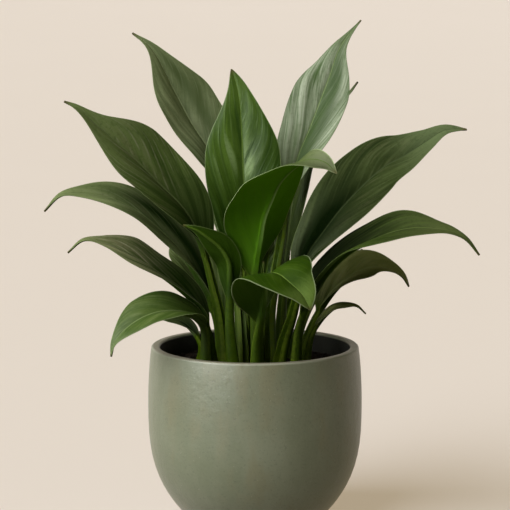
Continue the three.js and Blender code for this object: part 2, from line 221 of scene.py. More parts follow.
def buildPlanter():
    foot, lip, wall, floor = (planter[key] for key in ("footRound", "lipRound", "wall", "floor"))
    lipHeight = planter["height"] - lip
    profile = [(0, 0), *((across, 0) for across in planter["baseRings"])]
    footCentre = planterRadius(foot) - foot - planter["footTuck"]
    profile += roundPoints(footCentre, foot, foot, *planter["footTurn"], planter["footSteps"])
    profile += [(planterRadius(height), height) for height in planter["outerRings"]]
    profile += roundPoints(planter["rimRadius"] - lip, lipHeight, lip, 0, 90)
    profile += roundPoints(planter["rimRadius"] - wall + lip, lipHeight, lip, 90, 180)
    profile += [(planterRadius(height) - wall, height) for height in planter["innerRings"]]
    profile += [(planterRadius(floor) - planter["cornerWall"], floor), (0, floor)]
    return spunMesh(profile, planter["segments"])


# The two limits of a band on the planter, in the metres that its material measures in.
def planterBand(name):
    return [limit * mm for limit in planter[name]]


def planterFinish():
    finish = newFinish("mattStoneware", IOR=1.5)
    place = finish.coordinates()
    clouds = finish.noise(place, planter["cloudScale"], 4)
    streaks = finish.noise(finish.coordinates((1, 1, 0.3)), planter["streakScale"], 4, 0.6)
    grain = finish.noise(place, planter["grainScale"], 3, 0.7)
    fine = finish.noise(place, planter["fineScale"], 2, 0.6)
    dents = finish.noise(place, planter["dentScale"], 3, 0.5)
    height = finish.add("SeparateXYZ", None, {0: place}, 2)
    fromAxis = finish.add("VectorMath", {"operation": "LENGTH"}, {0: finish.coordinates((1, 1, 0))}, 1)
    colour = finish.mix((clouds + streaks).rising(0.75, 1.25), planter["glaze"], planter["paleGlaze"])
    colour = finish.mix((streaks - clouds).rising(-0.02, 0.2) * 0.6, colour, planter["warmGlaze"])
    colour = finish.mix(grain.rising(0.5, 0.75) * 0.28, colour, planter["paleGlaze"])
    colour = finish.mix(grain.falling(0.28, 0.46) * 0.35, colour, planter["speck"])
    for tint, depth in ("speck", 0.75), ("paleSpeck", 0.6):
        scale = planter[tint + "Scale"]
        specks = finish.add("TexVoronoi", None, {"Vector": place, "Scale": scale})
        keep = finish.noise(place, scale * 0.36, 1).rising(0.54, 0.6)
        colour = finish.mix(specks.falling(0.05, 0.16) * keep * depth, colour, planter[tint])
    rim = height.rising(*planterBand("rubbedHeights"))
    colour = finish.mix(rim * 0.8, colour, planter["rubbedRim"])
    # painted highlight: the rounded outer edge of the lip is made paler all round
    edge = height.rising(*planterBand("rimHighlightHeights")) * fromAxis.rising(*planterBand("rimHighlightRadii"))
    colour = finish.mix(edge * 0.45, colour, planter["paintedRimHighlight"])
    # painted shade: the inner wall below the rim is made almost black, as deep shade would show it
    inside = fromAxis.falling(*planterBand("insideShadeRadii")) * height.falling(*planterBand("insideShadeTop"))
    inside = inside * height.rising(*planterBand("insideShadeFoot"))
    colour = finish.mix(inside * 0.97, colour, planter["paintedShadeWall"])
    rough = 0.27 + 0.1 * clouds + 0.08 * grain + 0.45 * inside
    relief = finish.bump(grain * 0.7 + fine * 0.3 + streaks * 1.5 + dents * 1.6, planter["relief"], 0.6)
    return finish.feed(Base_Color=colour, Roughness=rough, Normal=relief)


finishPiece(buildPlanter(), "stoneware_bowl", "planter", planterFinish(), planter["sharp"])
print("planter made")

# Soil: a low mound with crumbs on it.
soil = {
    "edgeHeight": 147, "sideHeights": (22, 42, 70, 110, 147), "gap": 0.3,
    "rings": 30, "segments": 96, "sharp": 60,
    "mound": 3, "moundRadii": (86, 56), "lumps": 1.6, "lumpRadii": (88, 80), "lumpScale": 0.055,
    "crumbs": 420, "crumbSize": (0.9, 3.2), "crumbMargin": 5, "crumbLift": 0.25, "seed": 7,
    "clodScale": 90, "fibreScale": 420, "relief": 0.003,
    "dark": (0.006, 0.004, 0.002), "middle": (0.018, 0.011, 0.006), "dry": (0.05, 0.032, 0.02),
}


# The mound's height before its lumps.
def moundHeight(across):
    return soil["edgeHeight"] + soil["mound"] * smooth(across, *soil["moundRadii"])


def soilHeight(across, x, y):
    lump = noise.fractal(Vector((x, y, 0)) * soil["lumpScale"], 1, 2.1, 4)
    return moundHeight(across) + lump * soil["lumps"] * smooth(across, *soil["lumpRadii"])


def buildSoil():
    gap, rings = soil["gap"], soil["rings"]
    floor = planter["floor"] + gap
    profile = [(0, floor), (planterRadius(planter["floor"]) - planter["cornerWall"] - gap, floor)]
    profile += [(planterRadius(height) - planter["wall"] - gap, height) for height in soil["sideHeights"]]
    edge = profile[-1][0]
    for step in range(1, rings + 1):
        across = edge * (1 - step / rings)
        profile.append((across, moundHeight(across)))
    mesh = spunMesh(profile, soil["segments"])
    for vertex in mesh.verts:
        x, y, z = vertex.co / mm
        across = math.hypot(x, y)
        if z > soil["edgeHeight"] - 0.5 and across < edge - 1:
            vertex.co.z = soilHeight(across, x, y) * mm
    chance = random.Random(soil["seed"])
    for crumb in range(soil["crumbs"]):
        turn = chance.uniform(0, math.tau)
        across = (edge - soil["crumbMargin"]) * math.sqrt(chance.random())
        size = lerp(*soil["crumbSize"], chance.random() ** 3)
        x, y = across * math.cos(turn), across * math.sin(turn)
        place = Vector((x, y, soilHeight(across, x, y) + size * soil["crumbLift"])) * mm
        around = Matrix.Translation(place)
        grown = bmesh.ops.create_icosphere(mesh, subdivisions=1, radius=size * mm, matrix=around)
        squash = Vector((chance.uniform(0.7, 1.2), chance.uniform(0.7, 1.2), chance.uniform(0.45, 0.8)))
        for vertex in grown["verts"]:
            offset = vertex.co - place
            offset *= chance.uniform(0.8, 1.2)
            vertex.co = place + offset * squash
    return mesh


def soilFinish():
    finish = newFinish("pottingSoil", Roughness=0.95, IOR=1.4, Specular_IOR_Level=0.2)
    place = finish.coordinates()
    clods = finish.noise(place, soil["clodScale"], 5, 0.7)
    fibres = finish.noise(finish.coordinates((1, 1, 3)), soil["fibreScale"], 4, 0.75)
    colour = finish.mix(clods.rising(0.35, 0.65), soil["dark"], soil["middle"])
    colour = finish.mix(fibres.rising(0.58, 0.72) * 0.8, colour, soil["dry"])
    relief = finish.bump(clods + fibres * 0.6, soil["relief"], 0.9)
    return finish.feed(Base_Color=colour, Normal=relief)


finishPiece(buildSoil(), "potting_soil", "soil", soilFinish(), soil["sharp"])
print("soil made")

# Leaves. Lengths in millimetres, angles in degrees. A value that a leaf doesn't give is the usual one.
# Where a value is a pair for the two halves of a blade, the right half comes first, as seen from above
# the leaf, looking from its stalk to its tip.
#   midrib: points from the soil to the tip
#   blade:  share of the midrib's length at which the blade begins
#   width:  widest part of the blade
#   lean:   direction that the leaf leans in, from +X towards +Y
#   roll:   turn about the midrib at the blade's base, middle and tip
#   fold:   rise of each half above flat at the blade's base, middle and tip
#   wave:   height of the edge's waves, how many there are and where they start
#   drip:   share by which the blade draws in to its drip tip
#   slim:   a narrow leaf or shoot, on a thinner stalk
#   look:   which of leafLooks it has
#   reach:  how far the veins of each half run on towards the tip
#   pleat:  depth of the lengthwise pleats
usualLeaf = {
    "roll": [0, 0, 0], "fold": [50, 28, 22], "drip": 0.75, "slim": False, "reach": (1.1, 1.1), "pleat": 0.4,
}
leaves = {
    "leaf_upper_left": {
        "midrib": [
            [-11, -20], [-12, -15, 178], [-14, 1, 208], [-18, 21, 245], [-22, 33, 278], [-30, 43, 312],
            [-44, 52, 344], [-61, 59, 370], [-77, 66, 400], [-99, 73, 440], [-117, 76, 455],
        ],
        "blade": 0.42, "width": 71, "lean": 160, "roll": [-30, -34, -34], "fold": [50, 36, 30],
        "wave": [1.5, 2, 0.1], "look": "olive", "reach": (1, 2), "pleat": 0.45,
    },
    "leaf_broad_left": {
        "midrib": [
            [-27, -22], [-32, -23, 201], [-38, -24, 226], [-43, -26, 247], [-51, -30, 272], [-65, -37, 298],
            [-86, -44, 321], [-113, -51, 349], [-137, -57, 371], [-158, -60, 390], [-169, -60, 396],
        ],
        "blade": 0.34, "width": 70, "lean": 195, "roll": [-50, -56, -50], "fold": [50, 32, 28],
        "wave": [2, 2, 0.3], "drip": 0.7, "look": "dusky", "reach": (0.9, 2), "pleat": 0.45,
    },
    "leaf_left_arch": {
        "midrib": [
            [-30, 2], [-35, 6, 188], [-47, 10, 216], [-65, 14, 247], [-90, 14, 274], [-112, 11, 292],
            [-134, 6, 303], [-157, 0, 308], [-179, -6, 307], [-194, -12, 293],
        ],
        "blade": 0.17, "width": 55, "lean": 180, "roll": [-20, -25, -25], "fold": [50, 30, 25],
        "wave": [2, 2, 0.1], "look": "arching", "reach": (1.6, 1.6),
    },
    "leaf_left_arch_low": {
        "midrib": [
            [-38, -15], [-43, -21, 184], [-53, -29, 208], [-70, -39, 227], [-91, -49, 244],
            [-112, -57, 259], [-134, -63, 270], [-153, -67, 273], [-167, -70, 262],
        ],
        "blade": 0.17, "width": 50, "lean": 200, "roll": [-25, -28, -25], "wave": [1.5, 2, 0.4],
        "drip": 0.9, "look": "streaked", "reach": (1.8, 1.8),
    },
    "leaf_left_droop": {
        "midrib": [
            [-44, -28], [-45, -37, 186], [-52, -46, 199], [-65, -55, 206], [-81, -62, 208], [-99, -69, 204],
            [-116, -74, 193], [-126, -76, 181], [-129, -77, 169],
        ],
        "blade": 0.26, "width": 46, "lean": 205, "roll": [-20, -24, -20], "fold": [50, 30, 22],
        "wave": [1.5, 2, 0], "look": "meadow", "reach": (1.3, 1.3), "pleat": 0.45,
    },
    "leaf_left_low": {
        "midrib": [
            [-50, -4], [-49, -3, 165], [-57, 3, 178], [-68, 10, 186], [-81, 16, 189], [-97, 21, 186],
        ],
        "blade": 0.3, "width": 20, "lean": 170, "roll": [-20, -20, -20], "fold": [40, 20, 20],
        "wave": [0, 1, 0], "slim": True, "look": "shaded", "pleat": 0.2,
    },
    "leaf_centre_upright": {
        "midrib": [
            [-2, 8], [-5, 10, 197], [-8, 11, 235], [-11, 11, 268], [-10, 11, 301], [-11, 12, 329],
            [-12, 14, 356], [-14, 17, 389], [-17, 19, 407], [-22, 20, 422],
        ],
        "blade": 0.3, "width": 72, "lean": 90, "fold": [45, 22, 20], "wave": [1.5, 2, 0.2], "drip": 0.45,
        "look": "lush", "reach": (0.9, 2.6), "pleat": 0.8,
    },
    "leaf_centre_front": {
        "midrib": [
            [2, -28], [0, -32, 190], [-1, -35, 214], [0, -39, 235], [2, -44, 254], [5, -50, 272],
            [8, -58, 291], [14, -67, 308], [21, -77, 325], [31, -86, 337], [42, -92, 345], [52, -96, 347],
            [62, -99, 344], [71, -101, 335],
        ],
        "blade": 0.32, "width": 81, "lean": 300, "roll": [0, 10, 50], "fold": [50, 26, 20],
        "wave": [1.5, 2, 0.3], "drip": 0.6, "look": "folded", "pleat": 0.3,
    },
    "leaf_small_front": {
        "midrib": [
            [0, -42], [1, -46, 174], [3, -52, 189], [6, -60, 207], [8, -69, 223], [10, -79, 238],
            [15, -90, 246], [22, -101, 246], [31, -110, 240], [41, -116, 231], [48, -120, 218],
        ],
        "blade": 0.27, "width": 74, "lean": 300, "roll": [8, 14, 2], "fold": [40, 22, 34],
        "wave": [1, 1, 0], "drip": 0.3, "look": "fresh", "pleat": 0.25,
    },
    "leaf_inner_left": {
        "midrib": [
            [-20, -37], [-23, -40, 187], [-23, -43, 215], [-23, -46, 234], [-24, -50, 251], [-31, -55, 264],
            [-43, -60, 275], [-53, -63, 282], [-64, -65, 286],
        ],
        "blade": 0.38, "width": 25, "lean": 215, "roll": [60, 60, 60], "fold": [40, 22, 20],
        "wave": [1, 2, 0], "drip": 0.5, "look": "inner", "pleat": 0.2,
    },
    "leaf_upper_right": {
        "midrib": [
            [14, -11], [13, -6, 195], [17, -2, 223], [21, 6, 247], [25, 16, 270], [29, 27, 295],
            [35, 38, 319], [42, 47, 342], [52, 54, 365], [62, 60, 391], [71, 66, 414], [81, 71, 441],
            [101, 74, 467],
        ],
        "blade": 0.42, "width": 57, "lean": 20, "roll": [40, 52, 52], "wave": [1.5, 2, 0.1], "drip": 0.8,
        "look": "paintedSheen", "reach": (1.4, 1.4), "pleat": 0.6,
    },
    "leaf_upper_right_back": {
        "midrib": [
            [21, 9], [27, 20, 229], [31, 34, 261], [34, 44, 283], [37, 54, 306], [42, 64, 329],
            [52, 73, 351], [65, 80, 370], [80, 86, 387], [91, 89, 397], [99, 90, 408],
        ],
        "blade": 0.24, "width": 40, "lean": 30, "roll": [20, 20, 20], "fold": [50, 22, 20],
        "wave": [1.5, 2, 0.5], "look": "meadow",
    },
    "leaf_right_broad": {
        "midrib": [
            [21, -25], [26, -23, 174], [33, -18, 194], [41, -10, 224], [49, -4, 251], [65, 0, 274],
            [80, 0, 294], [101, -2, 317], [119, -4, 333], [138, -7, 344], [156, -9, 356], [174, -9, 367],
            [194, -9, 368],
        ],
        "blade": 0.25, "width": 68, "lean": 0, "roll": [50, 48, 40], "fold": [50, 30, 25],
        "wave": [2, 2, 0.4], "drip": 0.6, "look": "shaded", "reach": (1, 0.9),
    },
    "leaf_right_arch": {
        "midrib": [
            [36, -22], [40, -25, 189], [51, -29, 216], [67, -35, 241], [85, -43, 259], [104, -50, 270],
            [121, -57, 278], [139, -63, 283], [159, -67, 283], [174, -69, 281], [188, -71, 274],
            [200, -72, 260],
        ],
        "blade": 0.18, "width": 56, "lean": 340, "roll": [22, 22, 20], "wave": [2, 2, 0], "look": "dim",
        "reach": (1.6, 1.6),
    },
    "leaf_right_arch_low": {
        "midrib": [
            [41, 3], [55, 9, 187], [67, 15, 207], [82, 19, 223], [98, 22, 233], [114, 23, 237],
            [129, 21, 234], [139, 18, 228], [145, 15, 219],
        ],
        "blade": 0.3, "width": 50, "lean": 10, "roll": [20, 20, 20], "wave": [1.5, 2, 0.2], "drip": 0.35,
        "look": "russet", "pleat": 0.35,
    },
    "leaf_right_low": {
        "midrib": [
            [47, -9], [52, -6, 176], [63, -1, 192], [74, 2, 201], [86, 4, 203], [96, 4, 202], [104, 4, 195],
        ],
        "blade": 0.35, "width": 12, "lean": 0, "roll": [20, 20, 20], "fold": [40, 20, 20],
        "wave": [0, 1, 0], "slim": True, "look": "russet", "pleat": 0.2,
    },
    "leaf_back_left": {
        "midrib": [
            [-14, 30], [-9, 36, 191], [-12, 55, 229], [-16, 82, 269], [-20, 108, 306], [-25, 130, 329],
            [-27, 145, 338],
        ],
        "blade": 0.35, "width": 54, "lean": 95, "fold": [45, 22, 20], "wave": [2, 2, 0.2], "look": "dusky",
        "pleat": 0.45,
    },
    "leaf_back_right": {
        "midrib": [
            [14, 36], [29, 48, 186], [40, 66, 216], [54, 88, 244], [69, 112, 265], [88, 134, 284],
            [107, 152, 298], [124, 165, 309],
        ],
        "blade": 0.35, "width": 44, "lean": 60, "roll": [20, 20, 20], "fold": [45, 22, 20],
        "wave": [2, 2, 0.4], "look": "meadow",
    },
    "leaf_back_low_left": {
        "midrib": [
            [-28, 21], [-32, 34, 176], [-41, 46, 198], [-53, 62, 220], [-65, 84, 239], [-77, 104, 252],
            [-88, 122, 262],
        ],
        "blade": 0.14, "width": 52, "lean": 125, "fold": [45, 22, 20], "wave": [1.5, 2, 0.1],
        "look": "dusky",
    },
    "leaf_back_low_right": {
        "midrib": [
            [33, 21], [44, 34, 182], [57, 54, 203], [74, 84, 220], [91, 110, 231], [107, 130, 240],
        ],
        "blade": 0.32, "width": 32, "lean": 45, "fold": [45, 22, 20], "wave": [1.5, 2, 0.6],
        "look": "meadow", "pleat": 0.35,
    },
    "leaf_back_centre": {
        "midrib": [
            [1, 27], [5, 40, 195], [11, 62, 228], [15, 88, 250], [17, 116, 258], [18, 142, 254],
        ],
        "blade": 0.3, "width": 44, "lean": 85, "fold": [45, 24, 20], "wave": [1.5, 2, 0.3], "look": "lush",
    },
    "shoot_left": {
        "midrib": [
            [-4, -7], [-5, -9, 190], [-7, -12, 225], [-9, -14, 249],
        ],
        "blade": 0.35, "width": 9, "lean": 90, "fold": [60, 55, 40], "wave": [0, 1, 0], "slim": True,
        "look": "shoot", "pleat": 0,
    },
    "shoot_right": {
        "midrib": [
            [4, -13], [5, -15, 190], [6, -18, 222], [8, -20, 247],
        ],
        "blade": 0.35, "width": 9, "lean": 90, "fold": [60, 55, 40], "wave": [0, 1, 0], "slim": True,
        "look": "shoot", "pleat": 0,
    },
}

# What each point of a leaf carries for its material. course says which vein runs through the point,
# grown is a number of the leaf's own.
leafMeasures = ("across", "along", "course", "halfWidth", "ribHalf", "stalk", "pleat", "grown", "underside")

# The form that all leaves share. Swell and taper shape the outline below and above its widest part.
leafForm = {
    "stalkStart": 152, "stalkSunk": 16, "wideStalk": (4.8, 2.8), "slimStalk": (3.4, 1.8),
    "midribTaper": 0.8, "ridgeDepth": 1.3, "ridgeWidth": 1.05,
    "thickness": 0.8, "edgeThickness": 0.4, "tipHalfWidth": 0.4,
    "swell": 0.85, "taper": 0.8, "dripRange": (0.58, 0.97), "curl": 26,
    "veinBow": 0.35, "veinTaper": 0.8, "pleats": 3.4, "pleatWander": 0.4, "pleatLift": 1.6, "buckle": 0.6,
    "stations": 48, "slimStations": 20, "stalkRings": 22, "bladeRings": 62, "stepsPerPoint": 24,
    "sharp": 42, "seedStep": 3.7,
}

# What colours a leaf. A value that a look doesn't give is the usual one.
#   deep, light:    the two tones that the streaks run between, from the deepest to the lightest
#   fine:           strength of the fine streaks
#   veinAndHighlight, veined: colour of the veins, also used for the painted highlights, and the veins'
#       strength
#   brown:          strength of the brown tint in the streaks
#   tip, tipFrom:   colour near the tip, and the part of the blade over which it comes in
#   base, baseShadingTo: colour near the stalk, painted shade where it is dark and painted sheen where it is
#       pale, and the part of the blade over which it fades out
#   rib:            the midrib on the upper side
#   margin, rimmed: the pale edge and how far it reaches in
#   under, ridge:   the underside, and the midrib's ridge on it
#   lined:          strength of the pale line along that ridge
#   shade, shadeTo: the dark beside the midrib, and the part of the blade over which it fades out
#   halves:         strength of that shade on each half
#   outer:          1 moves the shade out from the midrib, below 0 makes it fall off faster
#   edges:          how much painted light pales each half towards its edge, near the stalk
#   paintedCrestHighlight, paintedRibSheen: strength of the painted highlight on the tops of the pleats, and
#       of the painted sheen beside the midrib
usualLook = {
    "fine": 1, "brown": 0, "tipFrom": (0.74, 0.92), "baseShadingTo": (0.05, 0.48), "rib": (0.16, 0.21, 0.08),
    "margin": (0.2, 0.26, 0.11), "rimmed": 0.9, "under": (0.05, 0.105, 0.006), "ridge": (0.06, 0.12, 0.004),
    "lined": 0.35, "shade": (0.01, 0.028, 0.001), "shadeTo": (0.3, 0.7), "halves": (0, 0), "outer": 0,
    "edges": (0, 0), "paintedCrestHighlight": 0.2, "paintedRibSheen": 0, "roughness": 0.5, "gloss": 0.2,
}
leafLooks = {
    "dusky": {
        "deep": (0.022, 0.052, 0.004), "light": (0.165, 0.23, 0.065), "fine": 0.8,
        "veinAndHighlight": (0.25, 0.27, 0.15), "veined": 0.7, "brown": 0.6, "tip": (0.21, 0.27, 0.1),
        "tipFrom": (0.45, 0.85), "base": (0.013, 0.031, 0.002), "halves": (0.35, 0.5), "gloss": 0.1,
    },
    "arching": {
        "deep": (0.02, 0.05, 0.003), "light": (0.28, 0.33, 0.15), "fine": 0.8, "veinAndHighlight": (0.22, 0.26, 0.13),
        "veined": 0.5, "brown": 0.45, "tip": (0.2, 0.25, 0.1), "tipFrom": (0.5, 0.85),
        "base": (0.006, 0.02, 0.0004), "baseShadingTo": (0, 0.32), "shade": (0.004, 0.014, 0.0004),
        "shadeTo": (0.5, 0.78), "halves": (1, 0), "outer": 0.5, "gloss": 0.06,
    },
    "streaked": {
        "deep": (0.04, 0.075, 0.01), "light": (0.36, 0.36, 0.19), "fine": 0.9, "veinAndHighlight": (0.45, 0.43, 0.29),
        "veined": 0.8, "brown": 0.6, "tip": (0.17, 0.22, 0.07), "base": (0.006, 0.024, 0.0004),
        "baseShadingTo": (0.28, 0.78), "shade": (0.008, 0.028, 0.0006), "shadeTo": (0.4, 0.8),
        "halves": (0.3, 0.3), "gloss": 0.06,
    },
    "olive": {
        "deep": (0.06, 0.092, 0.022), "light": (0.38, 0.44, 0.235), "veinAndHighlight": (0.29, 0.33, 0.18),
        "veined": 0.4, "brown": 0.4, "tip": (0.22, 0.27, 0.12), "tipFrom": (0.55, 0.9),
        "base": (0.03, 0.055, 0.006), "rib": (0.24, 0.29, 0.13), "margin": (0.24, 0.3, 0.14),
        "shade": (0.045, 0.07, 0.015), "shadeTo": (0.7, 1.2), "halves": (0.85, 0), "outer": 0.5,
        "paintedCrestHighlight": 0.25,
    },
    "shaded": {
        "deep": (0.01, 0.018, 0.003), "light": (0.05, 0.07, 0.02), "fine": 0.6,
        "veinAndHighlight": (0.11, 0.145, 0.055), "veined": 0.2, "brown": 0.2, "tip": (0.17, 0.225, 0.1),
        "tipFrom": (0.62, 0.95), "base": (0.085, 0.11, 0.055), "rib": (0.052, 0.072, 0.028),
        "margin": (0.12, 0.16, 0.06), "under": (0.038, 0.082, 0.004), "shade": (0.003, 0.01, 0.0005),
        "shadeTo": (0.25, 0.6), "halves": (0.6, 0.9), "outer": -0.5, "paintedCrestHighlight": 0.1, "roughness": 0.72,
        "gloss": 0.03,
    },
    "dim": {
        "deep": (0.008, 0.018, 0.001), "light": (0.052, 0.08, 0.016), "fine": 0.5,
        "veinAndHighlight": (0.095, 0.155, 0.025), "veined": 0.3, "brown": 0.2, "tip": (0.12, 0.15, 0.05),
        "tipFrom": (0.5, 0.9), "base": (0.002, 0.004, 0.0003), "baseShadingTo": (0.2, 0.75),
        "rib": (0.11, 0.15, 0.04), "margin": (0.15, 0.2, 0.07), "under": (0.038, 0.082, 0.004),
        "shade": (0.004, 0.009, 0.0004), "shadeTo": (0.3, 0.65), "halves": (0.2, 0.9), "outer": 0.5,
        "edges": (0.85, 0), "paintedCrestHighlight": 0.15, "roughness": 0.66, "gloss": 0.06,
    },
    # painted light: its tones are raised to make up for the little light that reaches it
    "russet": {
        "deep": (0.125, 0.155, 0.025), "light": (0.4, 0.42, 0.16), "fine": 0.5, "veinAndHighlight": (0.19, 0.21, 0.08),
        "veined": 0.6, "brown": 0.3, "tip": (0.2, 0.22, 0.07), "tipFrom": (0.4, 0.8),
        "base": (0.011, 0.02, 0.001), "baseShadingTo": (0.08, 0.45), "rib": (0.24, 0.28, 0.1),
        "margin": (0.3, 0.34, 0.16), "under": (0.038, 0.082, 0.004), "edges": (0.3, 0), "roughness": 0.6,
        "gloss": 0.08,
    },
    "meadow": {
        "deep": (0.03, 0.066, 0.006), "light": (0.098, 0.148, 0.03), "veinAndHighlight": (0.2, 0.25, 0.1),
        "veined": 0.4, "brown": 0.2, "tip": (0.17, 0.24, 0.09), "base": (0.028, 0.052, 0.005),
        "baseShadingTo": (0.1, 0.52), "rib": (0.19, 0.25, 0.09), "margin": (0.23, 0.29, 0.13),
        "under": (0.06, 0.115, 0.008), "paintedCrestHighlight": 0.25, "roughness": 0.48,
    },
    "lush": {
        "deep": (0.018, 0.052, 0.0006), "light": (0.11, 0.2, 0.025), "veinAndHighlight": (0.3, 0.42, 0.18),
        "veined": 0.12, "tip": (0.09, 0.16, 0.02), "base": (0.018, 0.055, 0.0004), "baseShadingTo": (0.1, 0.6),
        "rib": (0.13, 0.22, 0.03), "margin": (0.28, 0.36, 0.17), "under": (0.03, 0.09, 0.0005),
        "shade": (0.012, 0.038, 0.0004), "shadeTo": (0.55, 0.95), "halves": (0.6, 0), "outer": 1,
        "paintedCrestHighlight": 0.55, "paintedRibSheen": 0.7, "roughness": 0.34,
    },
    "inner": {
        "deep": (0.01, 0.032, 0.0004), "light": (0.03, 0.065, 0.001), "fine": 0.3,
        "veinAndHighlight": (0.09, 0.15, 0.03), "veined": 0.08, "tip": (0.04, 0.09, 0.003),
        "base": (0.012, 0.03, 0.0004), "baseShadingTo": (0.1, 0.6), "rib": (0.13, 0.22, 0.03),
        "margin": (0.14, 0.2, 0.06), "under": (0.03, 0.075, 0.0005), "ridge": (0.07, 0.13, 0.002),
        "lined": 0.12, "paintedCrestHighlight": 0, "roughness": 0.34, "gloss": 0.12,
    },
    # its underside is made bright to stand for light shining through the leaf, a painted glow
    "folded": {
        "deep": (0.05, 0.085, 0.012), "light": (0.12, 0.165, 0.045), "fine": 0.4,
        "veinAndHighlight": (0.19, 0.25, 0.09), "veined": 0.15, "tip": (0.23, 0.26, 0.15),
        "base": (0.035, 0.085, 0.0006), "rib": (0.075, 0.155, 0.005), "margin": (0.42, 0.52, 0.26),
        "rimmed": 1.1, "under": (0.125, 0.345, 0.0012), "ridge": (0.08, 0.18, 0.006), "lined": 0.85,
        "paintedCrestHighlight": 0.1, "roughness": 0.6, "gloss": 0.12,
    },
    "fresh": {
        "deep": (0.013, 0.038, 0.0004), "light": (0.036, 0.076, 0.002), "fine": 0.5,
        "veinAndHighlight": (0.17, 0.25, 0.05), "veined": 0.08, "tip": (0.19, 0.29, 0.06), "base": (0.02, 0.05, 0.0006),
        "rib": (0.15, 0.23, 0.04), "margin": (0.36, 0.44, 0.24), "rimmed": 1.6,
        "under": (0.045, 0.11, 0.001), "paintedCrestHighlight": 0.06, "gloss": 0.1,
    },
    # its pale streaks and tones are a painted sheen, with the gloss itself kept low
    "paintedSheen": {
        "deep": (0.075, 0.13, 0.04), "light": (0.46, 0.52, 0.38), "fine": 1.7, "veinAndHighlight": (0.44, 0.5, 0.36),
        "veined": 0.45, "tip": (0.1, 0.15, 0.04), "base": (0.25, 0.31, 0.18), "rib": (0.19, 0.26, 0.1),
        "margin": (0.1, 0.15, 0.05), "under": (0.06, 0.115, 0.008), "shade": (0.035, 0.07, 0.012),
        "shadeTo": (0.7, 1.1), "halves": (0.9, 0), "paintedCrestHighlight": 0.5, "roughness": 0.42, "gloss": 0.12,
    },
    "shoot": {
        "deep": (0.06, 0.12, 0.002), "light": (0.095, 0.16, 0.006), "veinAndHighlight": (0.14, 0.21, 0.02),
        "veined": 0.2, "tip": (0.1, 0.17, 0.01), "base": (0.03, 0.07, 0.001), "rib": (0.11, 0.18, 0.02),
        "margin": (0.16, 0.22, 0.05), "under": (0.055, 0.105, 0.002), "paintedCrestHighlight": 0,
    },
}
# What all looks share: colours, how many streaks of each kind cross a blade, the scale of the clouds
# and grain, and the depth of the relief.
leafParts = {
    "stalk": (0.04, 0.078, 0.0006), "stalkFoot": (0.09, 0.128, 0.008), "stalkEdgeHighlight": (0.15, 0.22, 0.02),
    "dryTip": (0.11, 0.075, 0.03), "brownTint": (0.125, 0.118, 0.062), "ridgeLine": (0.3, 0.48, 0.14),
    "broad": 4, "narrow": 20, "hair": 60, "veins": 11,
    "cloudScale": 24, "grainScale": 300, "relief": 0.0004,
}


# Close points along a smooth curve through a leaf's own points, each with the length reached. A first
# point without a height is at the stalk's start.
def midribLine(points):
    places = [Vector((*point, leafForm["stalkStart"])[:3]) for point in points]
    places = [places[0] * 2 - places[1], *places, places[-1] * 2 - places[-2]]
    dense = []
    steps = leafForm["stepsPerPoint"]
    for before, start, end, after in zip(places, places[1:], places[2:], places[3:]):
        gapBefore = (start - before).length ** 0.5
        gap = (end - start).length ** 0.5
        gapAfter = (after - end).length ** 0.5
        chord = (end - start) / gap
        pullStart = ((start - before) / gapBefore - (end - before) / (gapBefore + gap) + chord) * gap
        pullEnd = (chord - (after - start) / (gap + gapAfter) + (after - end) / gapAfter) * gap
        for step in range(steps):
            share = step / steps
            bend = (end - start) * 3 - pullStart * 2 - pullEnd
            settle = (start - end) * 2 + pullStart + pullEnd
            dense.append(start + pullStart * share + bend * share ** 2 + settle * share ** 3)
    dense.append(places[-2])
    reached = [0]
    for first, second in zip(dense, dense[1:]):
        reached.append(reached[-1] + (second - first).length)
    return dense, reached


# The place on a midrib at a share of its length, and its direction there.
def midribAt(line, share):
    dense, reached = line
    length = share * reached[-1]
    if share <= 0:
        along = (dense[1] - dense[0]).normalized()
        return dense[0] + along * length, along
    index = next((i for i, far in enumerate(reached) if far >= length), len(reached) - 1)
    part = (length - reached[index - 1]) / (reached[index] - reached[index - 1])
    before = dense[index] - dense[max(0, index - 2)]
    after = dense[min(len(dense) - 1, index + 1)] - dense[index - 1]
    along = before.normalized().lerp(after.normalized(), clamp(part))
    return dense[index - 1].lerp(dense[index], clamp(part)), along.normalized()


# A value that runs smoothly through three given ones, at 0, 0.5 and 1.
def through(values, share):
    base, middle, tip = values
    rest = 1 - share
    return base * rest * (rest - share) + middle * 4 * share * rest + tip * share * (share - rest)


# Share of the full width at a place on the blade.
def outline(share, drip):
    swell, taper = leafForm["swell"], leafForm["taper"]
    widest = swell / (swell + taper)
    full = (share / widest) ** swell * ((1 - share) / (1 - widest)) ** taper
    return full * (1 - drip * smooth(share, *leafForm["dripRange"]))


